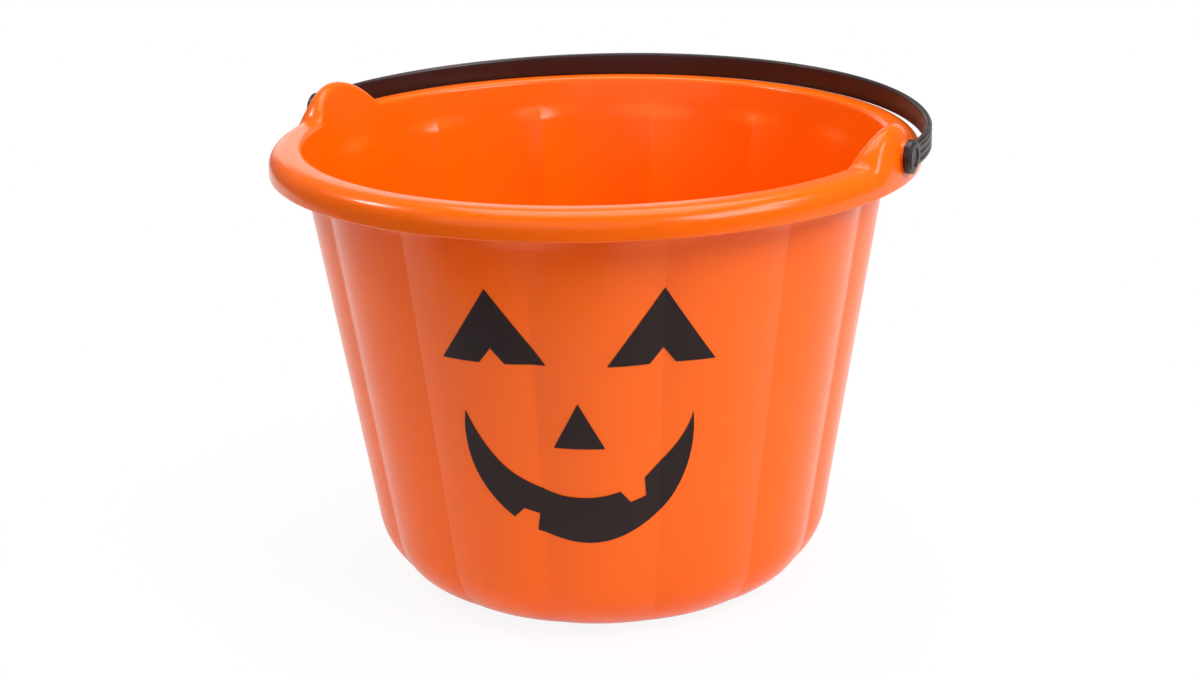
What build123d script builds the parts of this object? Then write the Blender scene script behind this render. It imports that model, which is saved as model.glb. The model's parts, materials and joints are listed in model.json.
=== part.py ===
from build123d import *
import os
from math import asin, atan, cos, degrees, pi, radians, sin, sqrt, tan

# Pumpkin candy pail, millimetres, +Z up, base centre at the origin, hinge along X, handle folded to +Y

# Tub and rim
rim_radius = 125.0
rim_top = 176.0
rim_reach = 11.3
base_radius = 86.6
corner_radius = 30.0
wall = 1.5
skirt_drop = 10.1
rim_round = 6.5
lip_round = 2.3
foot_rise = 1.2
foot_width = 13.0
foot_slope = 3.0
parting_step = 0.3
band_bite = 2.0

# Flutes
lobes = 14
crease_depth = 2.4
valley_radius = 3.0
shoulder_drop = 10.5
shoulder_height = 7.0
corner_shares = (0.0, 0.15, 0.3, 0.45, 0.6, 0.75, 0.88, 1.0)
shoulder_shares = (0.0, 0.25, 0.5, 0.75, 1.0)

# Ears
ear_rise = 11.6
ear_half_width = 31.0
crest_flat = 0.5
crest_round = 3.2
crest_lean = 1.8
pad_diameter = 11.5
pad_proud = 0.2
pad_depth = 3.4
ear_rise_shares = (
    (0.0, 1.0), (0.14, 0.98), (0.28, 0.92), (0.42, 0.818), (0.55, 0.682), (0.66, 0.531), (0.76, 0.362),
    (0.84, 0.201), (0.89, 0.092), (0.93, 0.035), (0.965, 0.009), (1.0, 0.0), (1.06, 0.0), (1.12, 0.0),
)

# Handle
pivot_rise = 0.5
strap_width = 9.6
strap_thick = 2.4
strap_reach = 122.5
strap_straight = 8.4
back_radius = 129.5
strap_edge_round = 1.1
eyelet_diameter = 12.5
eyelet_gap = 0.25
eyelet_rim = 1.7
eyelet_rim_height = 0.5
groove_start = 7.0
groove_pitch = 2.6
groove_width = 0.9
groove_depth = 0.45
groove_count = 3
stud_diameter = 6.0
stud_clearance = 0.075
head_diameter = 8.6
head_length = 3.0
head_tip_diameter = 5.2
head_gap = 0.3
slot_width = 1.3
rest_gap = 0.3

# Face
film = 0.25
film_gap = 0.03
face_turn = 21.5
eye_turn = 16.7
eye_span = 21.5
eye_low = 115.75
eye_height = 28.3
nose_span = 10.6
nose_low = 83.5
nose_height = 17.85
mouth_span = 47.3
mouth_low = 45.0
mouth_height = 50.6
eye_shares = ((-0.5, 0.0), (-0.12, 0.0), (0.0, 0.205), (0.12, 0.0), (0.5, 0.0), (0.0, 1.0))
nose_shares = ((-0.5, 0.0), (0.5, 0.0), (0.0, 1.0))
mouth_lower_left_shares = ((-0.505, 1.0), (-0.519, 0.81), (-0.487, 0.525), (-0.413, 0.325), (-0.32, 0.18))
mouth_low_tooth_shares = ((-0.32, 0.18), (-0.27, 0.255), (-0.197, 0.215), (-0.212, 0.079))
mouth_lower_right_shares = (
    (-0.212, 0.079), (-0.102, 0.027), (0.004, 0.0), (0.148, 0.028), (0.272, 0.119), (0.361, 0.23),
    (0.448, 0.439), (0.499, 0.75), (0.496, 1.0),
)
mouth_upper_right_shares = ((0.496, 1.0), (0.441, 0.794), (0.369, 0.648), (0.286, 0.507))
mouth_high_tooth_shares = ((0.286, 0.507), (0.294, 0.359), (0.224, 0.318), (0.177, 0.411))
mouth_upper_left_shares = (
    (0.177, 0.411), (0.082, 0.373), (-0.022, 0.366), (-0.117, 0.388), (-0.229, 0.462), (-0.315, 0.548),
    (-0.391, 0.672), (-0.455, 0.826), (-0.505, 1.0),
)

# Sizes that follow
overrun = 5.0
mouth_radius = rim_radius - rim_reach
taper = atan((mouth_radius - base_radius) / rim_top)
skirt_low = rim_top - skirt_drop
round_low = rim_top - rim_round
shoulder_top = rim_top - shoulder_drop
shoulder_low = shoulder_top - shoulder_height
crown_flat = rim_radius - rim_round - (mouth_radius - wall + lip_round)
pivot_z = rim_top + pivot_rise
pad_face = rim_radius + pad_proud
strap_inner = pad_face + eyelet_gap
strap_mid = strap_inner + strap_thick / 2
back_centre = strap_reach - back_radius
side_radius = (strap_mid ** 2 + (strap_straight - back_centre) ** 2 - back_radius ** 2) / (
    2 * (strap_mid - back_radius))
beta = pi / lobes


def peak(z):
    return base_radius + (mouth_radius - base_radius) * z / rim_top


def polar(radius, angle, z):
    return Vector(radius * sin(angle), -radius * cos(angle), z)


def lobe_form(crown, offset):
    """Lobe and valley radii and centres of the fluted section of a crown radius."""
    scale = crown / mouth_radius
    valley = valley_radius * scale
    far = crown - crease_depth * scale + valley
    lobe = (crown ** 2 + far ** 2 - 2 * crown * far * cos(beta) - valley ** 2) / (
        2 * (crown - far * cos(beta) + valley))
    return crown - lobe, lobe + offset, far, valley - offset


def lobe_points(crown, offset):
    """Angle and radius of a lobe's end, and the radii of the crease and the crown."""
    near, lobe, far, valley = lobe_form(crown, offset)
    x = far * sin(beta)
    y = far * cos(beta) - near
    span = sqrt(x ** 2 + y ** 2)
    px = x * lobe / span
    py = near + y * lobe / span
    return atan(px / py), sqrt(px ** 2 + py ** 2), far - valley, near + lobe


def section_wire(z, crown, offset, flute):
    """Section of the tub: lobes and valleys in tangent arcs at flute 1, a plain circle at flute 0."""
    end, end_radius, crease, top = lobe_points(crown, offset)
    plain = crown + offset
    end_radius = plain + (end_radius - plain) * flute
    crease = plain + (crease - plain) * flute
    edges = []
    for k in range(lobes):
        mid = 2 * beta * k
        a = polar(end_radius, mid - end, z)
        b = polar(end_radius, mid + end, z)
        c = polar(end_radius, mid + 2 * beta - end, z)
        edges.append(ThreePointArc(a, polar(plain, mid, z), b))
        edges.append(ThreePointArc(b, polar(crease, mid + beta, z), c))
    return Wire(edges)


def fade(share):
    return share ** 2 * (3 - 2 * share)


def corner_top(low, radius):
    return low + radius - radius * sin(taper)


def corner_form(low, offset, radius):
    """Rounded base edge, in which the creases die out."""
    centre_z = low + radius
    centre_r = base_radius + centre_z * tan(taper) - radius / cos(taper)
    turn = pi / 2 - taper
    sections = []
    for share in corner_shares:
        angle = -pi / 2 + turn * share
        z = centre_z + radius * sin(angle)
        sections.append(section_wire(z, centre_r + radius * cos(angle), offset, fade(share)))
    return Solid.make_loft(sections)


def wall_form(low, offset):
    """Fluted wall between the base corner and the shoulder, in straight lines."""
    wires = [section_wire(z, peak(z), offset, 1.0) for z in (low, shoulder_low)]
    return Solid.make_loft(wires, ruled=True)


def shoulder_form(offset):
    """Shoulder in which the flutes end below the round rim band."""
    sections = []
    for share in shoulder_shares:
        z = shoulder_low + shoulder_height * share
        sections.append(section_wire(z, peak(z), offset, 1 - fade(share)))
    return Solid.make_loft(sections)


def band_form(offset):
    """Round band above the shoulder, which the rim's own wall takes in."""
    wires = [section_wire(z, peak(z), offset, 0.0) for z in (shoulder_top, shoulder_top + band_bite)]
    return Solid.make_loft(wires, ruled=True)


def tub_form(low, offset, corner):
    form = corner_form(low, offset, corner) + wall_form(corner_top(low, corner), offset)
    return form + shoulder_form(offset) + band_form(offset)


def foot_recess(low):
    """Cone that raises the middle of the base, leaving a flat ring to stand on."""
    flat = base_radius + corner_radius * tan(taper) - corner_radius / cos(taper)
    radius = flat - foot_width
    return Solid.make_cone(radius + foot_slope / 2, radius - foot_slope / 2, foot_rise, Plane.XY.offset(low))


def tub():
    outer = tub_form(0.0, 0.0, corner_radius)
    inner = tub_form(wall, -wall, corner_radius - wall)
    shell = outer - inner
    return shell + foot_recess(wall) - foot_recess(0.0)


def lip_arc(centre, radius):
    """Arc over the lip about its centre, from the inner wall's lean to the top."""
    half = (pi / 2 + pi - taper) / 2
    start = (centre[0] - radius * cos(taper), centre[1] + radius * sin(taper))
    mid = (centre[0] + radius * cos(half), centre[1] + radius * sin(half))
    return start, mid, (centre[0], centre[1] + radius)


def rim_section(rise):
    """Closed section of the rim: inner wall, rounded lip, crown, outer round and skirt, one wall thick."""
    top = rim_top + rise
    share = rise / ear_rise
    crown = crown_flat * (1 - share) + crest_flat * share
    lip = lip_round * (1 - share) + crest_round * share
    lip_z = top - lip * (1 - sin(taper))
    lean = crest_lean * share
    centre = (peak(lip_z) - wall - parting_step + lean + lip * cos(taper), top - lip)
    b, over, c = lip_arc(centre, lip)
    k, under, j = lip_arc(centre, lip - wall - parting_step)
    a = (peak(shoulder_top) - wall - parting_step, shoulder_top)
    d = (c[0] + crown, top)
    reach = rim_radius - d[0]
    e = (rim_radius, round_low)
    f = (rim_radius, skirt_low)
    g = (rim_radius - wall, skirt_low)
    h = (rim_radius - wall, round_low)
    i = (d[0], top - wall)
    m = (peak(shoulder_top) + parting_step, shoulder_top)
    outer = EllipticalCenterArc((d[0], round_low), reach, top - round_low, start_angle=0, arc_size=90)
    inner = EllipticalCenterArc((d[0], round_low), reach - wall, top - wall - round_low, start_angle=0,
                                arc_size=90)
    edges = [
        Line(a, b), ThreePointArc(b, over, c), Line(c, d), outer, Line(e, f), Line(f, g), Line(g, h), inner,
        Line(i, j), ThreePointArc(j, under, k), Line(k, m), Line(m, a),
    ]
    return Wire(edges)


def section_plane(angle):
    return Plane(origin=(0, 0, 0), x_dir=(cos(angle), sin(angle), 0), z_dir=(sin(angle), -cos(angle), 0))


def ear(side):
    """One ear: the rim's own section, raised along a dome and lofted round the rim."""
    centre = 0.0 if side > 0 else pi
    sections = []
    for share, rise_share in ear_rise_shares[::-1]:
        turn = -ear_half_width * share / rim_radius
        sections.append(section_plane(centre + turn) * rim_section(ear_rise * rise_share))
    for share, rise_share in ear_rise_shares[1:]:
        turn = ear_half_width * share / rim_radius
        sections.append(section_plane(centre + turn) * rim_section(ear_rise * rise_share))
    return Solid.make_loft(sections)


def rim_arcs():
    """The plain rim between the ears, as two revolved pieces."""
    half = ear_half_width * ear_rise_shares[-1][0] / rim_radius
    sweep = 180 - 2 * degrees(half)
    pieces = []
    for centre in (0.0, pi):
        face = section_plane(centre + half) * Face(rim_section(0.0))
        pieces.append(revolve(face, Axis.Z, sweep))
    return pieces


def pad(side):
    start = pad_face - pad_depth
    plane = Plane(origin=(side * start, 0, pivot_z), z_dir=(side, 0, 0))
    return plane * Cylinder(pad_diameter / 2, pad_depth, align=(Align.CENTER, Align.CENTER, Align.MIN))


def pad_hole(side):
    start = pad_face - pad_depth - overrun
    length = pad_depth + overrun + overrun
    plane = Plane(origin=(side * start, 0, pivot_z), z_dir=(side, 0, 0))
    bore = stud_diameter / 2 + stud_clearance
    return plane * Cylinder(bore, length, align=(Align.CENTER, Align.CENTER, Align.MIN))


def pail_body():
    body = tub()
    for piece in rim_arcs():
        body = body + piece
    for side in (1, -1):
        body = body + ear(side)
    for side in (1, -1):
        body = body + pad(side)
    for side in (1, -1):
        body = body - pad_hole(side)
    return body


def arch_line(shift, start):
    """Line of the strap from arm to arm, a shift outside its middle: straight arms, side arcs, back arc."""
    cx = strap_mid - side_radius
    run = sqrt(cx ** 2 + (strap_straight - back_centre) ** 2)
    tx = cx / run
    ty = (strap_straight - back_centre) / run
    radius = back_radius + shift
    small = side_radius + shift
    u = strap_mid + shift
    join = (radius * tx, back_centre + radius * ty)
    turn = atan(ty / tx) / 2
    bend = (cx + small * cos(turn), strap_straight + small * sin(turn))
    return [
        Line((u, start), (u, strap_straight)),
        ThreePointArc((u, strap_straight), bend, join),
        ThreePointArc(join, (0, back_centre + radius), (-join[0], join[1])),
        ThreePointArc((-join[0], join[1]), (-bend[0], bend[1]), (-u, strap_straight)),
        Line((-u, strap_straight), (-u, start)),
    ]


def arch_band(inner, outer, start, width):
    """Flat band along the strap's line, between two shifts from its middle."""
    near = strap_mid + inner
    far = strap_mid + outer
    ends = [Line((near, start), (far, start)), Line((-near, start), (-far, start))]
    face = Face(Wire(arch_line(outer, start) + arch_line(inner, start) + ends))
    return extrude(face, width / 2, both=True, dir=(0, 0, 1))


def strap_arch():
    """Flat strap with rounded long edges and shallow grooves along its outer face."""
    half = strap_thick / 2
    solid = arch_band(-half, half, 0.0, strap_width)
    long_edges = [e for e in solid.edges() if abs(abs(e.center().Z) - strap_width / 2) < strap_edge_round
                  and e.bounding_box().max.Y > strap_edge_round]
    strap = solid.fillet(strap_edge_round, long_edges)
    for index in range(groove_count):
        z = (index - (groove_count - 1) / 2) * groove_pitch
        strap = strap - Pos(0, 0, z) * arch_band(half - groove_depth, half + groove_depth, groove_start,
                                                 groove_width)
    return strap


def rest_tilt():
    """Tilt at which the strap's rounded lower edge rests on the rim's outer round."""
    across = strap_reach - strap_thick / 2 + strap_edge_round - (rim_radius - rim_round)
    apart = rim_round + strap_edge_round + rest_gap
    seat = round_low + sqrt(max(apart ** 2 - across ** 2, 0.0)) - strap_edge_round + strap_width / 2
    return asin((seat - pivot_z) / strap_reach)


def end_cylinder(side, start, radius, length):
    plane = Plane(origin=(side * start, 0, 0), z_dir=(side, 0, 0))
    return plane * Cylinder(radius, length, align=(Align.CENTER, Align.CENTER, Align.MIN))


def eyelet(side):
    disc = end_cylinder(side, strap_inner, eyelet_diameter / 2, strap_thick)
    disc = disc.fillet(strap_edge_round / 2, disc.edges().filter_by(GeomType.CIRCLE))
    raised = end_cylinder(side, strap_inner + strap_thick / 2, eyelet_diameter / 2 - strap_edge_round,
                          strap_thick / 2 + eyelet_rim_height)
    raised = raised.fillet(eyelet_rim_height / 2, raised.edges().group_by(Axis.X)[-1 if side > 0 else 0])
    well_radius = eyelet_diameter / 2 - strap_edge_round - eyelet_rim
    well = end_cylinder(side, strap_inner + strap_thick, well_radius, overrun)
    return disc + raised - well


def stud(side):
    """Shank through the ear's pad and a tapered, split head behind it."""
    head_start = pad_face - pad_depth - head_gap
    shank_start = head_start - head_length
    shank_length = strap_inner + strap_thick / 2 - head_start + head_gap
    shank = end_cylinder(side, head_start - head_gap, stud_diameter / 2, shank_length)
    plane = Plane(origin=(side * shank_start, 0, 0), z_dir=(side, 0, 0))
    head = plane * Cone(head_tip_diameter / 2, head_diameter / 2, head_length,
                        align=(Align.CENTER, Align.CENTER, Align.MIN))
    slot_plane = Plane(origin=(side * (shank_start - overrun), 0, 0), z_dir=(side, 0, 0))
    slot_length = overrun + head_length + head_gap + pad_depth
    slot = slot_plane * Box(slot_width, head_diameter + overrun, slot_length,
                            align=(Align.CENTER, Align.CENTER, Align.MIN))
    return shank + head - slot


def carry_handle():
    handle = strap_arch()
    for side in (1, -1):
        handle = handle + eyelet(side)
        handle = handle + stud(side)
    return Pos(0, 0, pivot_z) * Rot(degrees(rest_tilt()), 0, 0) * handle


def film_shell():
    """Skin of one film thickness, a hair off the fluted wall."""
    low = corner_top(0.0, corner_radius)
    return wall_form(low, film_gap + film) - wall_form(low, film_gap)


def face_point(span, low, height, turn, share):
    z = low + height * share[1]
    angle = radians(turn + span * share[0])
    return (peak(z) * sin(angle), z)


def printed(edges, shell):
    plane = Plane(origin=(0, 0, 0), x_dir=(cos(radians(face_turn)), sin(radians(face_turn)), 0),
                  z_dir=(sin(radians(face_turn)), -cos(radians(face_turn)), 0))
    prism = extrude(plane * Face(Wire(edges)), rim_radius)
    return prism & shell


def straight_outline(span, low, height, turn, shares):
    points = [face_point(span, low, height, turn, s) for s in shares]
    return [Line(a, b) for a, b in zip(points, points[1:] + points[:1])]


def mouth_outline():
    def points(shares):
        return [face_point(mouth_span, mouth_low, mouth_height, 0.0, s) for s in shares]

    def lines(shares):
        p = points(shares)
        return [Line(a, b) for a, b in zip(p[:-1], p[1:])]

    edges = [Spline(*points(mouth_lower_left_shares))]
    edges += lines(mouth_low_tooth_shares)
    edges.append(Spline(*points(mouth_lower_right_shares)))
    edges.append(Spline(*points(mouth_upper_right_shares)))
    edges += lines(mouth_high_tooth_shares)
    edges.append(Spline(*points(mouth_upper_left_shares)))
    return edges


os.makedirs("parts", exist_ok=True)
shell = film_shell()
nodes = {
    "pail_body": pail_body(),
    "carry_handle": carry_handle(),
    "left_eye_print": printed(straight_outline(eye_span, eye_low, eye_height, -eye_turn, eye_shares), shell),
    "right_eye_print": printed(straight_outline(eye_span, eye_low, eye_height, eye_turn, eye_shares), shell),
    "nose_print": printed(straight_outline(nose_span, nose_low, nose_height, 0.0, nose_shares), shell),
    "mouth_print": printed(mouth_outline(), shell),
}
for name, solid in nodes.items():
    export_step(solid, os.path.join("parts", name + ".step"))
    print(name, len(solid.solids()), round(solid.volume), solid.bounding_box())
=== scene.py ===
import json
from collections import defaultdict, namedtuple
from math import asin, atan, atan2, cos, pi, radians, sin, sqrt, tan

import bmesh
import bpy
from bpy.props import FloatProperty, FloatVectorProperty, IntProperty, PointerProperty
from mathutils import Matrix, Vector


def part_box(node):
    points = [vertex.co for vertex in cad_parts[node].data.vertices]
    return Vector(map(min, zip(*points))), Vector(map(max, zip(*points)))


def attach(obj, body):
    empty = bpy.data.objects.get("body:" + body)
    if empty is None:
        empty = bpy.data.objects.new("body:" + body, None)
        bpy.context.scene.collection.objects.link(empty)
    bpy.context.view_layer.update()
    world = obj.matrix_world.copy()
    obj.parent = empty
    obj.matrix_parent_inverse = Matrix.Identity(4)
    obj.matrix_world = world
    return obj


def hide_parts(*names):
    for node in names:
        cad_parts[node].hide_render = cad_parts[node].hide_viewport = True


bl_info = {
    "name": "Pumpkin candy pail",
    "version": (1, 0, 0),
    "blender": (4, 5, 0),
    "location": "3D View > Sidebar > Pail",
    "description": "Models a fluted candy pail with its strap and printed face around the solids",
    "category": "Object",
}

# The solids stand at the origin in metres, +Z up, hinge along X, strap folded to +Y
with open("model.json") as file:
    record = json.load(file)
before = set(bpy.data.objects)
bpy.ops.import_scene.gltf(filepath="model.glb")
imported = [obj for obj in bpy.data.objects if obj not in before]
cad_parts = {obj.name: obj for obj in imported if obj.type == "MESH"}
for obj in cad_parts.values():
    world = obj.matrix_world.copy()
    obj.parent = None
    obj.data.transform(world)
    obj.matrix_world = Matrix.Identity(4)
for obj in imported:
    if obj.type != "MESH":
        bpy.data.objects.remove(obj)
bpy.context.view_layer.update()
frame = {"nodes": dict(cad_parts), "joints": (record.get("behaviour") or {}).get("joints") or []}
pail_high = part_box("pail_body")[1]
hinge_height = frame["joints"][0]["pos_m"][2]

PRINT_NODES = ("left_eye_print", "right_eye_print", "nose_print", "mouth_print")
MERGE = 2e-6
SMOOTH_ANGLE = radians(38)

# How finely the round stretches are divided
LOBE_STEPS = 32
VALLEY_STEPS = 4
FADE_STEPS = 12
WALL_STEPS = 6
ROUND_STEPS = 9
LIP_STEPS = 6
SIDE_STEPS = 26
BACK_STEPS = 60
EDGE_STEPS = 4
CYLINDER_STEPS = 64
BEVEL_STEPS = 3
FLOOR_STEPS = 128

# Least X of a face's normal that counts as facing outwards on an eyelet
FACING_OUT = 0.9

# Gloss and grain of each finish, and what its shader keeps constant
SHELL_SURFACE = {"Smoothest": 0.17, "Roughest": 0.25, "Grain Scale": 900.0, "Grain Height": 0.000006,
                 "Wave Height": 0.00002}
SHELL_SHADER = {"IOR": 1.49, "Specular IOR Level": 0.28, "Subsurface Weight": 0.15,
                "Subsurface Radius": (0.006, 0.002, 0.0004), "Subsurface Scale": 1.0}
STRAP_SURFACE = {"Smoothest": 0.30, "Roughest": 0.46, "Grain Scale": 1400.0, "Grain Height": 0.00002,
                 "Wave Height": 0.00003}
STRAP_SHADER = {"IOR": 1.49}
INK_SURFACE = {"Smoothest": 0.38, "Roughest": 0.5, "Grain Scale": 2600.0, "Grain Height": 0.00001,
               "Wave Height": 0.00004}
INK_SHADER = {"IOR": 1.45, "Specular IOR Level": 0.2}

# Studio: mirror rays see this share of the floor's own glow
MIRROR_SHARE = 0.6
WHITE = (1.0, 1.0, 1.0, 1.0)
FLOOR_GREY = (0.9, 0.9, 0.9, 1.0)
SENSOR_WIDTH = 36.0

# Each area light: its power's setting, its size and its place in metres
LIGHTS = {
    "key_light": ("key", (0.8, 0.6), (1.15, -0.25, 1.05)),
    "side_light": ("side", (0.2, 0.2), (-1.0, -0.25, 1.1)),
    "front_light": ("front", (2.0, 1.2), (0.1, -1.25, 0.9)),
    "back_light": ("rear", (0.25, 0.25), (0.95, 0.3, 1.2)),
    "edge_light": ("edge", (0.9, 0.6), (-0.95, 1.25, 0.42)),
    "top_light": ("top", (0.9, 0.9), (-0.1, 0.3, 1.3)),
}


def length(name, description, default):
    return FloatProperty(name=name, description=description, default=default, min=0.0, precision=5,
                         subtype="DISTANCE", unit="LENGTH")


def colour(name, description, default):
    return FloatVectorProperty(name=name, description=description, default=default, size=4, min=0.0, max=1.0,
                               subtype="COLOR")


def turn(name, description, default):
    return FloatProperty(name=name, description=description, default=radians(default), subtype="ANGLE")


def level(name, description, default):
    return FloatProperty(name=name, description=description, default=default, min=0.0)


class PailSizes(bpy.types.PropertyGroup):
    """Sizes of the moulded pail"""
    rim_radius: length("Rim radius", "Outside of the rolled rim", pail_high.y)
    rim_top: length("Rim height", "Top of the rim between the ears", 0.176)
    rim_reach: length("Rim reach", "How far the rim stands out from the mouth", 0.0113)
    base_radius: length("Base radius", "Wall's radius carried down to the floor", 0.0866)
    corner_radius: length("Corner radius", "Rounding between the wall and the base", 0.030)
    wall: length("Wall", "Thickness of the moulding", 0.0015)
    skirt_drop: length("Skirt drop", "Rim's lower edge below its top", 0.0101)
    rim_round: length("Rim rounding", "Rounding of the rim's outer shoulder", 0.0065)
    lip_round: length("Lip rounding", "Rounding of the rim's inner edge", 0.0023)
    foot_rise: length("Foot rise", "How far the middle of the base is raised", 0.0012)
    foot_width: length("Foot width", "Width of the flat ring it stands on", 0.013)
    foot_slope: length("Foot slope", "Width of the step up to the middle of the base", 0.003)
    gate_radius: length("Gate radius", "Small disc left by moulding under the base", 0.0022)
    gate_height: length("Gate height", "Height of that disc", 0.0005)
    lobes: IntProperty(name="Lobes", description="Number of lobes round the wall", default=14, min=3)
    crease_depth: length("Crease depth", "Depth of a crease between two lobes", 0.0024)
    valley_radius: length("Valley radius", "Rounding at the bottom of a crease", 0.0015)
    shoulder_drop: length("Shoulder drop", "Top of the shoulder below the rim's top", 0.0105)
    shoulder_height: length("Shoulder height", "Height in which the creases die out", 0.007)
    ear_top: length("Ear top", "Height of the ears", pail_high.z)
    ear_half_width: length("Ear half width", "Half of an ear's length along the rim", 0.026)
    crest_radius: length("Crest radius", "Radius of an ear's domed outline", 0.0304)
    crest_flat: length("Crest flat", "Flat width on top of an ear", 0.0005)
    crest_round: length("Crest rounding", "Rounding of an ear's inner edge", 0.0034)
    crest_share: level("Crest share", "Share of an ear's height in which the rim's flat top runs out", 0.12)
    crest_lean: length("Crest lean", "How far an ear leans out at its top", 0.0018)
    pad_face: length("Pad face", "Distance of an ear's bearing face from the middle", pail_high.x)
    pad_diameter: length("Pad diameter", "Diameter of the bearing boss in an ear", 0.0115)
    pad_depth: length("Pad depth", "Thickness of the bearing boss", 0.0034)
    bore: length("Bore", "Diameter of the hole in the boss", 0.00615)


class StrapSizes(bpy.types.PropertyGroup):
    """Sizes of the carrying strap"""
    width: length("Width", "Width of the strap", 0.0096)
    thick: length("Thickness", "Thickness of the strap", 0.0024)
    gap: length("Gap", "Gap between an eyelet and its ear", 0.00025)
    reach: length("Reach", "Distance from the hinge to the middle of the strap", 0.1225)
    straight: length("Straight arm", "Straight length beside an eyelet", 0.0084)
    back_radius: length("Back radius", "Radius of the strap's long middle arc", 0.1295)
    edge_round: length("Edge rounding", "Rounding of the long edges", 0.0011)
    eyelet_diameter: length("Eyelet diameter", "Diameter of the round ends", 0.0125)
    eyelet_rim: length("Eyelet rim", "Width of the raised ring on an end", 0.0017)
    eyelet_rim_height: length("Eyelet rim height", "Height of the raised ring", 0.0005)
    groove_start: length("Groove start", "Distance of the grooves from the hinge", 0.007)
    groove_pitch: length("Groove pitch", "Distance between grooves", 0.0026)
    groove_width: length("Groove width", "Width of a groove", 0.0009)
    groove_depth: length("Groove depth", "Depth of a groove", 0.00045)
    grooves: IntProperty(name="Grooves", description="Grooves along the outer face", default=3, min=1)
    stud: length("Stud", "Diameter of the stud in the ear", 0.006)
    head: length("Head", "Largest diameter of the stud's snap head", 0.0086)
    head_tip: length("Head tip", "Diameter at the tip of the snap head", 0.0052)
    head_length: length("Head length", "Length of the snap head", 0.003)
    head_gap: length("Head gap", "Play between the snap head and the boss", 0.0003)
    slot: length("Slot", "Width of the slot that lets the head spring", 0.0013)
    rest_gap: length("Rest gap", "Gap between the resting strap and the rim", 0.0003)


class PailFinish(bpy.types.PropertyGroup):
    """Colours of the pail"""
    orange: colour("Orange", "Plastic of the pail", (0.96, 0.140, 0.0008, 1.0))
    orange_deep: colour("Deep orange", "Slow drift of the pail's colour", (0.93, 0.127, 0.0006, 1.0))
    strap: colour("Strap brown", "Plastic of the strap", (0.021, 0.0058, 0.0046, 1.0))
    strap_deep: colour("Deep strap brown", "Slow drift of the strap's colour", (0.016, 0.0046, 0.0038, 1.0))
    ink: colour("Ink", "Printed face", (0.018, 0.010, 0.0105, 1.0))
    ink_thin: colour("Thin ink", "Where the print is thinner", (0.024, 0.013, 0.0125, 1.0))


class StageSetup(bpy.types.PropertyGroup):
    """Camera and light"""
    azimuth: turn("Azimuth", "Camera's turn from the pail's front towards +X", 26.03)
    elevation: turn("Elevation", "Camera's height angle", 18.08)
    roll: turn("Roll", "Camera's turn about its own line of sight", -1.279)
    distance: length("Distance", "Camera's distance from the aim point", 0.8125)
    aim_height: length("Aim height", "Height of the aim point", 0.09256)
    aim_side: length("Aim side", "Distance of the line of sight to the right of the axis", 0.00035)
    lens: level("Lens", "Focal length in millimetres on a 36 mm sensor", 61.137)
    key: level("Key light", "Power of the key light in watts", 15.5)
    side: level("Side light", "Power of the light on the left in watts", 5.0)
    front: level("Front light", "Power of the wide light in front in watts", 6.5)
    rear: level("Back light", "Power of the small light behind on the right in watts", 2.5)
    edge: level("Edge light", "Power of the low card behind on the left in watts", 1.6)
    top: level("Top light", "Power of the overhead light in watts", 9.3)
    ambient: level("Ambient", "Brightness of the room on the object", 0.20)
    floor_radius: length("Floor radius", "Radius of the white floor", 1.3)
    floor_back: length("Floor back", "How far the floor's middle lies behind the pail", 1.0)
    floor_gap: length("Floor gap", "Gap between the pail and the floor", 0.0001)
    backdrop_height: length("Backdrop height", "Height of the white card behind", 1.3)
    floor_keep: level("Floor shadow", "Share of the floor that takes light and shade", 0.1)
    shade_near: length("Shade near", "Radius within which the floor takes the full shade", 0.09)
    shade_far: length("Shade far", "Radius beyond which the floor is plain white", 0.26)


# Helpers for modelling as by hand

def start_line(name, point):
    """New object in edit mode with one selected vertex at a point."""
    bpy.ops.object.select_all(action="DESELECT")
    bpy.ops.mesh.primitive_plane_add(size=1.0)
    obj = bpy.context.object
    obj.name = name
    obj.data.name = name
    bpy.ops.object.mode_set(mode="EDIT")
    bpy.ops.mesh.select_mode(type="VERT")
    bpy.ops.mesh.select_all(action="SELECT")
    bpy.ops.mesh.merge(type="CENTER")
    bpy.ops.transform.translate(value=point)
    return obj


def draw_line(points):
    """Extrudes the selected vertex from point to point."""
    for a, b in zip(points[:-1], points[1:]):
        bpy.ops.mesh.extrude_vertices_move(TRANSFORM_OT_translate={"value": Vector(b) - Vector(a)})


def spin_on(steps, angle, centre):
    """Spins what is selected about a vertical line, anticlockwise seen from above."""
    bpy.ops.mesh.spin(steps=steps, angle=-angle, center=centre, axis=(0, 0, 1))


def pick(vertices):
    """Selects only the given vertices in edit mode."""
    bpy.ops.mesh.select_all(action="DESELECT")
    for v in vertices:
        v.select = True


def close_shell():
    """Merges doubles, turns the faces outwards and leaves edit mode."""
    bpy.ops.mesh.select_all(action="SELECT")
    bpy.ops.mesh.remove_doubles(threshold=MERGE)
    bpy.ops.mesh.normals_make_consistent(inside=False)
    bpy.ops.object.mode_set(mode="OBJECT")


def take(obj):
    """Selects only this object and makes it active."""
    bpy.ops.object.select_all(action="DESELECT")
    obj.select_set(True)
    bpy.context.view_layer.objects.active = obj


def settle(obj):
    """Applies the object's place and turn to its mesh and shades it smooth."""
    take(obj)
    bpy.ops.object.transform_apply(location=True, rotation=True, scale=True)
    bpy.ops.object.shade_smooth_by_angle(angle=SMOOTH_ANGLE)


def combine(obj, tool, operation):
    """Applies a boolean with a tool object, then deletes the tool."""
    take(obj)
    bpy.ops.object.modifier_add(type="BOOLEAN")
    cut = obj.modifiers[-1]
    cut.operation = operation
    cut.solver = "EXACT"
    cut.object = tool
    bpy.ops.object.modifier_apply(modifier=cut.name)
    bpy.data.objects.remove(tool)


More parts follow.
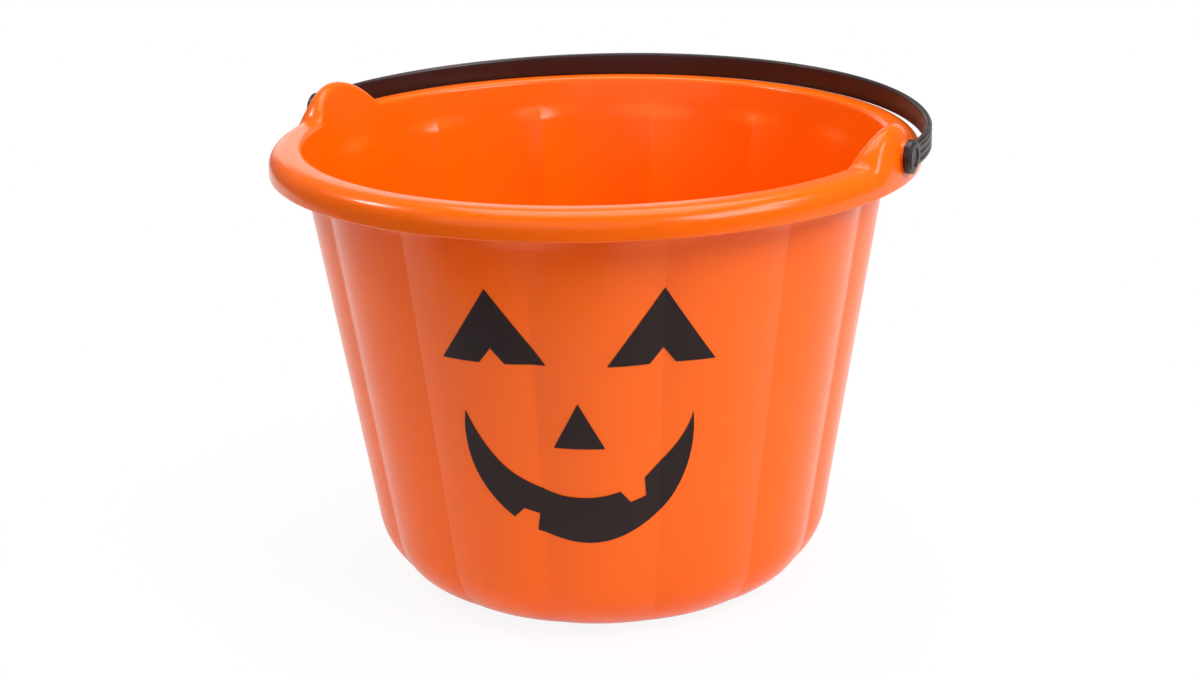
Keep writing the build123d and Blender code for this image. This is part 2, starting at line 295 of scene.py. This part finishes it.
def hinge_cylinder(radius, start, end, side):
    """Cylinder along the hinge line between two distances from the middle."""
    bpy.ops.object.select_all(action="DESELECT")
    bpy.ops.mesh.primitive_cylinder_add(vertices=CYLINDER_STEPS, radius=radius, depth=end - start,
                                        location=(side * (start + end) / 2, 0, 0),
                                        rotation=(0, side * pi / 2, 0))
    return bpy.context.object


# The pail's lathe profile

Row = namedtuple("Row", "radius height flute rim share")


def fade(share):
    """Smooth step from 0 to 1."""
    return share ** 2 * (3 - 2 * share)


def taper(s):
    """Angle between the wall and the upright."""
    return atan((s.rim_radius - s.rim_reach - s.base_radius) / s.rim_top)


def peak(s, z):
    """Radius of a lobe's crown at a height."""
    return s.base_radius + z * tan(taper(s))


def rim_point(s, rim, share, rise):
    """Place on the rim's section, raised by an ear, as a radius and a height."""
    lean = taper(s)
    skin = s.wall / cos(lean)
    top = s.rim_top + rise
    low = s.rim_top - s.rim_round
    lifted = rise / (s.ear_top - s.rim_top)
    lip = s.lip_round * (1 - lifted) + s.crest_round * lifted
    lip_r = peak(s, top - lip * (1 - sin(lean))) - skin + s.crest_lean * lifted
    lip_centre = lip_r + lip * cos(lean)
    domed = fade(min(1, lifted / s.crest_share))
    plain_flat = s.rim_radius - s.rim_round - (peak(s, s.rim_top) - s.wall + s.lip_round)
    crown_end = lip_centre + plain_flat * (1 - domed) + s.crest_flat * domed
    reach = s.rim_radius - crown_end
    angle = share * pi / 2
    if rim == "cavity":
        return crown_end + (reach - s.wall) * cos(angle), low + (top - s.wall - low) * sin(angle)
    if rim == "round":
        return crown_end + reach * cos(angle), low + (top - low) * sin(angle)
    angle = pi / 2 + share * (pi / 2 - lean)
    reach = lip - s.wall if rim == "under" else lip
    return lip_centre + reach * cos(angle), top - lip + reach * sin(angle)


def rim_rows(s):
    """Rows from under the crown, down the cavity, round the skirt's edge and over the rim to the lip."""
    rows = []
    for i in range(LIP_STEPS, 0, -1):
        rows.append(Row(*rim_point(s, "under", i / LIP_STEPS, 0), 0, "under", i / LIP_STEPS))
    for i in range(ROUND_STEPS, -1, -1):
        rows.append(Row(*rim_point(s, "cavity", i / ROUND_STEPS, 0), 0, "cavity", i / ROUND_STEPS))
    half = s.wall / 2
    low = s.rim_top - s.skirt_drop + half
    for i in range(LIP_STEPS + 1):
        angle = pi + pi * i / LIP_STEPS
        rows.append(Row(s.rim_radius - half + half * cos(angle), low + half * sin(angle), 0, "", 0))
    for i in range(ROUND_STEPS + 1):
        rows.append(Row(*rim_point(s, "round", i / ROUND_STEPS, 0), 0, "round", i / ROUND_STEPS))
    for i in range(LIP_STEPS + 1):
        rows.append(Row(*rim_point(s, "lip", i / LIP_STEPS, 0), 0, "lip", i / LIP_STEPS))
    return rows


def wall_rows(s, inset):
    """Rows up one side of the wall, from the base's middle to the rim."""
    lean = taper(s)
    skin = inset / cos(lean)
    corner = s.corner_radius
    centre = peak(s, corner) - corner / cos(lean)
    step = centre - s.foot_width
    rows = [Row(0, s.foot_rise + inset, 0, "", 0)]
    if inset == 0:
        rows = [Row(0, s.foot_rise - s.gate_height, 0, "", 0),
                Row(s.gate_radius, s.foot_rise - s.gate_height, 0, "", 0),
                Row(s.gate_radius + s.gate_height, s.foot_rise, 0, "", 0)]
    for i in range(LIP_STEPS + 1):
        share = i / LIP_STEPS
        height = inset + s.foot_rise * (1 - fade(share))
        rows.append(Row(step + s.foot_slope * (share - 0.5), height, 0, "", 0))
    for i in range(FADE_STEPS + 1):
        share = i / FADE_STEPS
        angle = -pi / 2 + (pi / 2 - lean) * share
        rows.append(Row(centre + (corner - inset) * cos(angle), corner + (corner - inset) * sin(angle),
                        fade(share), "", 0))
    top = s.rim_top - s.shoulder_drop
    low = top - s.shoulder_height
    start = rows[-1].height
    for i in range(1, WALL_STEPS + 1):
        z = start + (low - start) * i / WALL_STEPS
        rows.append(Row(peak(s, z) - skin, z, 1, "", 0))
    for i in range(2, FADE_STEPS + 1, 2):
        share = i / FADE_STEPS
        z = low + s.shoulder_height * share
        rows.append(Row(peak(s, z) - skin, z, 1 - fade(share), "", 0))
    return rows


def pail_rows(s):
    """The whole section: up the outside, over the rim and down the inside."""
    return wall_rows(s, 0) + rim_rows(s) + wall_rows(s, s.wall)[::-1]


# Flutes and ears

def lobe_share(s):
    """Radius of the fluted section over its crown's radius, by angle from a lobe's middle, at each column."""
    crown = s.rim_radius - s.rim_reach
    beta = pi / s.lobes
    far = crown - s.crease_depth + s.valley_radius
    lobe = (crown ** 2 + far ** 2 - 2 * crown * far * cos(beta) - s.valley_radius ** 2) / (
        2 * (crown - far * cos(beta) + s.valley_radius))
    near = crown - lobe
    lean = atan2(far * sin(beta), far * cos(beta) - near)
    end = atan2(lobe * sin(lean), near + lobe * cos(lean))
    shares = {}
    for i in range(LOBE_STEPS // 2 + 1):
        a = end * 2 * i / LOBE_STEPS
        shares[a] = (near * cos(a) + sqrt(lobe ** 2 - (near * sin(a)) ** 2)) / crown
    for i in range(1, VALLEY_STEPS // 2 + 1):
        a = end + (beta - end) * 2 * i / VALLEY_STEPS
        b = beta - a
        shares[a] = (far * cos(b) - sqrt(s.valley_radius ** 2 - (far * sin(b)) ** 2)) / crown
    return end, shares


def ear_rise(s, along):
    """Height of an ear's dome at a distance along the rim: a crest arc and a foot arc that touch."""
    rise = s.ear_top - s.rim_top
    both = (s.ear_half_width ** 2 + rise ** 2) / (2 * rise)
    foot = both - s.crest_radius
    if along >= s.ear_half_width:
        return 0.0
    if along <= s.crest_radius * s.ear_half_width / both:
        return rise - s.crest_radius + sqrt(s.crest_radius ** 2 - along ** 2)
    return foot - sqrt(foot ** 2 - (s.ear_half_width - along) ** 2)


def spin_lobes(s, end):
    """Spins the selected profile round the axis, lobe by lobe, with closer columns in the creases."""
    beta = pi / s.lobes
    for _ in range(s.lobes):
        spin_on(LOBE_STEPS, 2 * end, (0, 0, 0))
        spin_on(VALLEY_STEPS, 2 * (beta - end), (0, 0, 0))


def press_flutes(obj, s, rows, shares):
    """Draws the columns in towards the axis, so that the wall swells into lobes between creases."""
    beta = pi / s.lobes
    mesh = bmesh.from_edit_mesh(obj.data)
    row_of = mesh.verts.layers.int["row"]
    groups = defaultdict(list)
    for v in mesh.verts:
        flute = rows[v[row_of]].flute
        if flute > 0:
            angle = atan2(v.co.x, -v.co.y)
            offset = abs(angle - 2 * beta * round(angle / (2 * beta)))
            groups[flute, min(shares, key=lambda a: abs(a - offset))].append(v)
    for (flute, column), vertices in groups.items():
        scale = 1 + (shares[column] - 1) * flute
        pick(vertices)
        bpy.ops.transform.resize(value=(scale, scale, 1), center_override=(0, 0, 0))


def raise_ears(obj, s, rows):
    """Lifts the rim's rows into the two domed ears, column by column."""
    mesh = bmesh.from_edit_mesh(obj.data)
    row_of = mesh.verts.layers.int["row"]
    groups = defaultdict(list)
    for v in mesh.verts:
        row = rows[v[row_of]]
        along = abs(abs(atan2(v.co.x, -v.co.y)) - pi / 2) * s.rim_radius
        if row.rim and along < s.ear_half_width:
            groups[v[row_of], round(along / MERGE)].append(v)
    for (index, along), vertices in groups.items():
        row = rows[index]
        radius, height = rim_point(s, row.rim, row.share, ear_rise(s, along * MERGE))
        scale = radius / row.radius
        pick(vertices)
        bpy.ops.transform.resize(value=(scale, scale, 1), center_override=(0, 0, 0))
        bpy.ops.transform.translate(value=(0, 0, height - row.height))


def model_shell(s):
    """The pail as one moulding: lathe profile, lobes, ears, bosses and their bores."""
    rows = pail_rows(s)
    end, shares = lobe_share(s)
    points = [(r.radius * sin(-end), -r.radius * cos(end), r.height) for r in rows]
    shell = start_line("pail_shell", points[0])
    draw_line(points)
    mesh = bmesh.from_edit_mesh(shell.data)
    row_of = mesh.verts.layers.int.new("row")
    mesh.verts.ensure_lookup_table()
    for index, v in enumerate(mesh.verts):
        v[row_of] = index
    bpy.ops.mesh.select_all(action="SELECT")
    spin_lobes(s, end)
    bpy.ops.mesh.select_all(action="SELECT")
    bpy.ops.mesh.remove_doubles(threshold=MERGE)
    bpy.ops.mesh.normals_make_consistent(inside=False)
    press_flutes(shell, s, rows, shares)
    raise_ears(shell, s, rows)
    close_shell()
    for side in (1, -1):
        boss = hinge_cylinder(s.pad_diameter / 2, s.pad_face - s.pad_depth, s.pad_face, side)
        boss.location.z = hinge_height
        combine(shell, boss, "UNION")
    for side in (1, -1):
        bore = hinge_cylinder(s.bore / 2, s.pad_face - 2 * s.pad_depth, s.pad_face + s.pad_depth, side)
        bore.location.z = hinge_height
        combine(shell, bore, "DIFFERENCE")
    shell.data.attributes.remove(shell.data.attributes["row"])
    settle(shell)
    return shell


# The strap

def strap_section(t, inner):
    """Section of the strap as distances from the middle and heights, with rounded edges and outer grooves."""
    half = t.width / 2
    outer = inner + t.thick
    corners = ((outer, half, 0), (inner, half, 1), (inner, -half, 2), (outer, -half, 3))
    line = []
    for x, z, quarter in corners:
        cx = x - t.edge_round if x > inner else x + t.edge_round
        cz = z - t.edge_round if z > 0 else z + t.edge_round
        for i in range(EDGE_STEPS + 1):
            angle = (quarter + i / EDGE_STEPS) * pi / 2
            line.append((cx + t.edge_round * cos(angle), cz + t.edge_round * sin(angle)))
    for index in range(t.grooves):
        z = (index - (t.grooves - 1) / 2) * t.groove_pitch
        for i in range(2 * EDGE_STEPS + 1):
            share = i / EDGE_STEPS - 1
            depth = t.groove_depth * (1 - share ** 4)
            line.append((outer - depth, z + share * t.groove_width / 2))
    return line


def model_arch(t, inner):
    """Strap swept along its arch: section, straight arm, side arc, back arc, side arc, straight arm."""
    middle = inner + t.thick / 2
    centre = t.reach - t.back_radius
    bend = (middle ** 2 + (t.straight - centre) ** 2 - t.back_radius ** 2) / (2 * (middle - t.back_radius))
    swing = atan2(t.straight - centre, middle - bend)
    section = [(x, 0, z) for x, z in strap_section(t, inner)]
    strap = start_line("carry_strap", section[0])
    draw_line(section)
    bpy.ops.mesh.select_all(action="SELECT")
    bpy.ops.mesh.edge_face_add()
    arm = (t.groove_start, t.groove_width, t.straight - t.groove_start - t.groove_width)
    for run in arm:
        bpy.ops.mesh.extrude_region_move(TRANSFORM_OT_translate={"value": (0, run, 0)})
    spin_on(SIDE_STEPS, swing, (middle - bend, t.straight, 0))
    spin_on(BACK_STEPS, pi - 2 * swing, (0, centre, 0))
    spin_on(SIDE_STEPS, swing, (bend - middle, t.straight, 0))
    for run in arm[::-1]:
        bpy.ops.mesh.extrude_region_move(TRANSFORM_OT_translate={"value": (0, -run, 0)})
    # The grooves end at a flat stretch beside each eyelet
    mesh = bmesh.from_edit_mesh(strap.data)
    flat = inner + t.thick
    for side in (1, -1):
        for v in list(mesh.verts):
            near = abs(v.co.y) < t.groove_start + MERGE
            grooved = abs(v.co.z) < t.width / 2 - t.edge_round - MERGE
            if near and grooved and middle < side * v.co.x:
                pick([v])
                bpy.ops.transform.translate(value=(side * flat - v.co.x, 0, 0))
    close_shell()
    return strap


def model_eyelet(t, inner):
    """Round end with a raised ring, on the +X side."""
    eyelet = hinge_cylinder(t.eyelet_diameter / 2, inner, inner + t.thick, 1)
    bpy.ops.object.transform_apply(location=True, rotation=True, scale=True)
    bpy.ops.object.mode_set(mode="EDIT")
    bpy.ops.mesh.select_mode(type="FACE")
    bpy.ops.mesh.select_all(action="DESELECT")
    mesh = bmesh.from_edit_mesh(eyelet.data)
    for f in mesh.faces:
        f.select = f.normal.x > FACING_OUT
    rises = (t.eyelet_rim_height, -t.eyelet_rim_height)
    for width, rise in zip((t.edge_round, t.eyelet_rim), rises):
        bpy.ops.mesh.inset(thickness=width)
        bpy.ops.mesh.extrude_region_move(TRANSFORM_OT_translate={"value": (rise, 0, 0)})
    bpy.ops.mesh.select_mode(type="EDGE")
    bpy.ops.mesh.select_all(action="DESELECT")
    mesh = bmesh.from_edit_mesh(eyelet.data)
    for e in mesh.edges:
        e.select = e.is_manifold and e.calc_face_angle() > SMOOTH_ANGLE
    bpy.ops.mesh.bevel(offset=t.eyelet_rim_height / 3, segments=BEVEL_STEPS)
    bpy.ops.object.mode_set(mode="OBJECT")
    return eyelet


def model_stud(t, s):
    """Shank and split snap head behind the ear's boss, on the +X side."""
    inner = s.pad_face + t.gap
    head_end = s.pad_face - s.pad_depth - t.head_gap
    tip = head_end - t.head_length
    stud = hinge_cylinder(t.stud / 2, head_end - t.head_gap, inner + t.thick / 2, 1)
    bpy.ops.object.transform_apply(location=True, rotation=True, scale=True)
    bpy.ops.object.select_all(action="DESELECT")
    bpy.ops.mesh.primitive_cone_add(vertices=CYLINDER_STEPS, radius1=t.head_tip / 2, radius2=t.head / 2,
                                    depth=t.head_length, location=((tip + head_end) / 2, 0, 0),
                                    rotation=(0, pi / 2, 0))
    combine(stud, bpy.context.object, "UNION")
    bpy.ops.object.select_all(action="DESELECT")
    bpy.ops.mesh.primitive_cube_add(size=1.0, location=(tip, 0, 0),
                                    scale=(2 * (s.pad_depth + t.head_length), t.head * 2, t.slot))
    combine(stud, bpy.context.object, "DIFFERENCE")
    return stud


def rest_tilt(t, s):
    """Tilt at which the strap's rounded lower edge rests on the rim's outer round."""
    across = t.reach - t.thick / 2 + t.edge_round - (s.rim_radius - s.rim_round)
    apart = s.rim_round + t.edge_round + t.rest_gap
    seat = s.rim_top - s.rim_round + sqrt(apart ** 2 - across ** 2) - t.edge_round + t.width / 2
    return asin((seat - hinge_height) / t.reach)


def model_strap(t, s):
    """The strap in one piece with its round ends and studs, folded down onto the rim."""
    inner = s.pad_face + t.gap
    strap = model_arch(t, inner)
    for turned in (0, pi):
        for part in (model_eyelet(t, inner), model_stud(t, s)):
            part.rotation_euler.z = turned
            combine(strap, part, "UNION")
    strap.rotation_euler.x = rest_tilt(t, s)
    strap.location.z = hinge_height
    settle(strap)
    return strap


# Finishes

def add_node(tree, kind, values=None, **links):
    """Node of a kind with its socket values set and its sockets linked."""
    node = tree.nodes.new(kind)
    for name, value in (values or {}).items():
        node.inputs[name].default_value = value
    for name, socket in links.items():
        tree.links.new(socket, node.inputs[name.replace("_", " ")])
    return node


def moulded_group():
    """Shared effect of moulded plastic: slow colour drift, uneven gloss, and a fine grain with faint flow."""
    group = bpy.data.node_groups.new("moulded_surface", "ShaderNodeTree")
    for name, kind in (("Colour", "NodeSocketColor"), ("Drift Colour", "NodeSocketColor"),
                       ("Smoothest", "NodeSocketFloat"), ("Roughest", "NodeSocketFloat"),
                       ("Grain Scale", "NodeSocketFloat"), ("Grain Height", "NodeSocketFloat"),
                       ("Wave Height", "NodeSocketFloat")):
        group.interface.new_socket(name, in_out="INPUT", socket_type=kind)
    for name, kind in (("Colour", "NodeSocketColor"), ("Roughness", "NodeSocketFloat"),
                       ("Normal", "NodeSocketVector")):
        group.interface.new_socket(name, in_out="OUTPUT", socket_type=kind)
    given = group.nodes.new("NodeGroupInput")
    result = group.nodes.new("NodeGroupOutput")
    place = group.nodes.new("ShaderNodeTexCoord").outputs["Object"]
    drift = add_node(group, "ShaderNodeTexNoise", {"Scale": 16.0, "Detail": 4.0, "Roughness": 0.6},
                     Vector=place)
    tint = group.nodes.new("ShaderNodeMix")
    tint.data_type = "RGBA"
    group.links.new(drift.outputs["Fac"], tint.inputs["Factor"])
    group.links.new(given.outputs["Colour"], tint.inputs["A"])
    group.links.new(given.outputs["Drift Colour"], tint.inputs["B"])
    group.links.new(tint.outputs["Result"], result.inputs["Colour"])
    patches = add_node(group, "ShaderNodeTexNoise", {"Scale": 55.0, "Detail": 6.0, "Roughness": 0.65},
                       Vector=place)
    gloss = group.nodes.new("ShaderNodeMapRange")
    gloss.inputs["From Min"].default_value = 0.3
    gloss.inputs["From Max"].default_value = 0.7
    group.links.new(patches.outputs["Fac"], gloss.inputs["Value"])
    group.links.new(given.outputs["Smoothest"], gloss.inputs["To Min"])
    group.links.new(given.outputs["Roughest"], gloss.inputs["To Max"])
    group.links.new(gloss.outputs["Result"], result.inputs["Roughness"])
    waves = add_node(group, "ShaderNodeTexNoise", {"Scale": 70.0, "Detail": 2.0}, Vector=place)
    swell = add_node(group, "ShaderNodeBump", {"Strength": 1.0}, Height=waves.outputs["Fac"],
                     Distance=given.outputs["Wave Height"])
    grain = add_node(group, "ShaderNodeTexNoise", {"Detail": 3.0}, Vector=place,
                     Scale=given.outputs["Grain Scale"])
    skin = add_node(group, "ShaderNodeBump", {"Strength": 1.0}, Height=grain.outputs["Fac"],
                    Distance=given.outputs["Grain Height"], Normal=swell.outputs["Normal"])
    group.links.new(skin.outputs["Normal"], result.inputs["Normal"])
    return group


def moulded_material(name, tone, deep, values, shader_values):
    """Plastic or ink whose colour, gloss and grain come from the shared effect."""
    material = bpy.data.materials.new(name)
    material.use_nodes = True
    tree = material.node_tree
    shader = tree.nodes["Principled BSDF"]
    surface = tree.nodes.new("ShaderNodeGroup")
    surface.node_tree = bpy.data.node_groups.get("moulded_surface") or moulded_group()
    surface.inputs["Colour"].default_value = tone
    surface.inputs["Drift Colour"].default_value = deep
    for key, value in values.items():
        surface.inputs[key].default_value = value
    tree.links.new(surface.outputs["Colour"], shader.inputs["Base Color"])
    tree.links.new(surface.outputs["Roughness"], shader.inputs["Roughness"])
    tree.links.new(surface.outputs["Normal"], shader.inputs["Normal"])
    for key, value in shader_values.items():
        shader.inputs[key].default_value = value
    return material


def dress(obj, material):
    """Gives an object one material."""
    obj.data.materials.clear()
    obj.data.materials.append(material)


# Stage

def area_light(name, power, size, place, aim):
    """Rectangular light at a place, turned to the aim point."""
    bpy.ops.object.select_all(action="DESELECT")
    bpy.ops.object.light_add(type="AREA", location=place)
    lamp = bpy.context.object
    lamp.name = name
    lamp.data.energy = power
    lamp.data.shape = "RECTANGLE"
    lamp.data.size, lamp.data.size_y = size
    lamp.rotation_euler = (Vector(aim) - Vector(place)).to_track_quat("-Z", "Y").to_euler()


def background_rays(tree):
    """Mask of the rays that see the pale background: camera and see-through rays, and mirror rays in part."""
    path = tree.nodes.new("ShaderNodeLightPath")
    mask = path.outputs["Is Camera Ray"]
    for name, share in (("Is Glossy Ray", MIRROR_SHARE), ("Is Transmission Ray", 1.0)):
        part = tree.nodes.new("ShaderNodeMath")
        part.operation = "MULTIPLY"
        part.inputs[1].default_value = share
        tree.links.new(path.outputs[name], part.inputs[0])
        both = tree.nodes.new("ShaderNodeMath")
        both.operation = "MAXIMUM"
        tree.links.new(mask, both.inputs[0])
        tree.links.new(part.outputs[0], both.inputs[1])
        mask = both.outputs[0]
    return mask


def floor_material(keep, near, far):
    """White floor that glows for the background's rays and keeps a share of light and shade near the pail."""
    material = bpy.data.materials.new("pale_floor")
    material.use_nodes = True
    tree = material.node_tree
    tree.nodes.remove(tree.nodes["Principled BSDF"])
    lit = add_node(tree, "ShaderNodeBsdfDiffuse", {"Color": FLOOR_GREY})
    glow = add_node(tree, "ShaderNodeEmission", {"Color": WHITE, "Strength": 1.0})
    spread = tree.nodes.new("ShaderNodeVectorMath")
    spread.operation = "LENGTH"
    tree.links.new(tree.nodes.new("ShaderNodeTexCoord").outputs["Object"], spread.inputs[0])
    share = tree.nodes.new("ShaderNodeMapRange")
    share.interpolation_type = "SMOOTHSTEP"
    for key, value in zip(("From Min", "From Max", "To Min", "To Max"), (near, far, 1 - keep, 1.0)):
        share.inputs[key].default_value = value
    tree.links.new(spread.outputs["Value"], share.inputs["Value"])
    seen = tree.nodes.new("ShaderNodeMath")
    seen.operation = "MULTIPLY"
    tree.links.new(share.outputs["Result"], seen.inputs[0])
    tree.links.new(background_rays(tree), seen.inputs[1])
    mix = tree.nodes.new("ShaderNodeMixShader")
    tree.links.new(seen.outputs[0], mix.inputs["Fac"])
    tree.links.new(lit.outputs[0], mix.inputs[1])
    tree.links.new(glow.outputs[0], mix.inputs[2])
    tree.links.new(mix.outputs[0], tree.nodes["Material Output"].inputs["Surface"])
    return material


def lay_floor(g):
    """White floor under the pail and a white card upright behind it."""
    bpy.ops.object.select_all(action="DESELECT")
    bpy.ops.mesh.primitive_circle_add(vertices=FLOOR_STEPS, radius=g.floor_radius, fill_type="NGON",
                                      location=(0, g.floor_back, -g.floor_gap))
    bpy.ops.object.transform_apply(location=True)
    floor = bpy.context.object
    floor.name = "studio_floor"
    bpy.ops.object.select_all(action="DESELECT")
    bpy.ops.mesh.primitive_plane_add(size=1.0, rotation=(pi / 2, 0, 0),
                                     location=(0, g.floor_back + g.floor_radius, g.backdrop_height / 2),
                                     scale=(2 * g.floor_radius, g.backdrop_height, 1))
    bpy.ops.object.transform_apply(location=True, rotation=True, scale=True)
    backdrop = bpy.context.object
    backdrop.name = "studio_backdrop"
    white = floor_material(g.floor_keep, g.shade_near, g.shade_far)
    for surface in (floor, backdrop):
        dress(surface, white)


def light_room(ambient):
    """World that is white to the camera and a soft grey to everything else."""
    world = bpy.context.scene.world or bpy.data.worlds.new("room")
    bpy.context.scene.world = world
    world.use_nodes = True
    tree = world.node_tree
    tree.nodes.clear()
    seen = tree.nodes.new("ShaderNodeLightPath")
    strength = tree.nodes.new("ShaderNodeMapRange")
    strength.inputs["To Min"].default_value = ambient
    strength.inputs["To Max"].default_value = 1.0
    tree.links.new(seen.outputs["Is Camera Ray"], strength.inputs["Value"])
    glow = add_node(tree, "ShaderNodeBackground", {"Color": WHITE}, Strength=strength.outputs[0])
    out = tree.nodes.new("ShaderNodeOutputWorld")
    tree.links.new(glow.outputs[0], out.inputs["Surface"])


def place_camera(g):
    """Camera at the photograph's viewing angle."""
    back = Vector((cos(g.elevation) * sin(g.azimuth), -cos(g.elevation) * cos(g.azimuth), sin(g.elevation)))
    right = Vector((cos(g.azimuth), sin(g.azimuth), 0))
    aim = Vector((0, 0, g.aim_height)) + right * g.aim_side
    up = back.cross(right)
    side = right * cos(g.roll) + up * sin(g.roll)
    over = up * cos(g.roll) - right * sin(g.roll)
    data = bpy.data.cameras.new("photo_camera")
    data.sensor_fit = "HORIZONTAL"
    data.sensor_width = SENSOR_WIDTH
    data.lens = g.lens
    camera = bpy.data.objects.new("photo_camera", data)
    bpy.context.scene.collection.objects.link(camera)
    turned = Matrix((side, over, back)).transposed().to_4x4()
    camera.matrix_world = Matrix.Translation(aim + back * g.distance) @ turned
    bpy.context.scene.camera = camera


# Operators

class PAIL_OT_shell(bpy.types.Operator):
    """Model the moulded pail"""
    bl_idname = "candy_pail.shell"
    bl_label = "Pail"

    def execute(self, context):
        finish = context.scene.pail_finish
        shell = model_shell(context.scene.pail_sizes)
        dress(shell, moulded_material("orange_plastic_gloss", finish.orange, finish.orange_deep,
                                      SHELL_SURFACE, SHELL_SHADER))
        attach(shell, "pail")
        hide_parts("pail_body")
        return {"FINISHED"}


class PAIL_OT_strap(bpy.types.Operator):
    """Model the carrying strap"""
    bl_idname = "candy_pail.strap"
    bl_label = "Strap"

    def execute(self, context):
        finish = context.scene.pail_finish
        strap = model_strap(context.scene.strap_sizes, context.scene.pail_sizes)
        dress(strap, moulded_material("brown_plastic_satin", finish.strap, finish.strap_deep,
                                      STRAP_SURFACE, STRAP_SHADER))
        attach(strap, "handle")
        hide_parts("carry_handle")
        return {"FINISHED"}


class PAIL_OT_face(bpy.types.Operator):
    """Finish the printed face"""
    bl_idname = "candy_pail.face"
    bl_label = "Printed face"

    def execute(self, context):
        finish = context.scene.pail_finish
        ink = moulded_material("printed_ink", finish.ink, finish.ink_thin, INK_SURFACE, INK_SHADER)
        for name in PRINT_NODES:
            dress(frame["nodes"][name], ink)
        return {"FINISHED"}


class PAIL_OT_stage(bpy.types.Operator):
    """Set the floor, the lights and the camera"""
    bl_idname = "candy_pail.stage"
    bl_label = "Stage"

    def execute(self, context):
        g = context.scene.pail_stage
        context.scene.view_settings.view_transform = "Standard"
        lay_floor(g)
        light_room(g.ambient)
        for name, (power, size, place) in LIGHTS.items():
            area_light(name, getattr(g, power), size, place, (0, 0, g.aim_height))
        place_camera(g)
        return {"FINISHED"}


class PAIL_PT_panel(bpy.types.Panel):
    """Steps and settings of the candy pail"""
    bl_idname = "PAIL_PT_panel"
    bl_label = "Candy pail"
    bl_space_type = "VIEW_3D"
    bl_region_type = "UI"
    bl_category = "Pail"

    def draw(self, context):
        for step in STEPS:
            self.layout.operator(step.bl_idname)
        for name in SETTINGS:
            group = getattr(context.scene, name)
            box = self.layout.box()
            for key in group.bl_rna.properties.keys():
                if key not in ("rna_type", "name"):
                    box.prop(group, key)


SETTINGS = {"pail_sizes": PailSizes, "strap_sizes": StrapSizes, "pail_finish": PailFinish,
            "pail_stage": StageSetup}
STEPS = (PAIL_OT_shell, PAIL_OT_strap, PAIL_OT_face, PAIL_OT_stage)


def register():
    for name, group in SETTINGS.items():
        bpy.utils.register_class(group)
        setattr(bpy.types.Scene, name, PointerProperty(type=group))
    for step in STEPS:
        bpy.utils.register_class(step)
    bpy.utils.register_class(PAIL_PT_panel)


def unregister():
    bpy.utils.unregister_class(PAIL_PT_panel)
    for step in reversed(STEPS):
        bpy.utils.unregister_class(step)
    for name, group in SETTINGS.items():
        delattr(bpy.types.Scene, name)
        bpy.utils.unregister_class(group)


def main():
    register()
    bpy.ops.candy_pail.shell()
    bpy.ops.candy_pail.strap()
    bpy.ops.candy_pail.face()
    bpy.ops.candy_pail.stage()


if __name__ == "__main__":
    main()
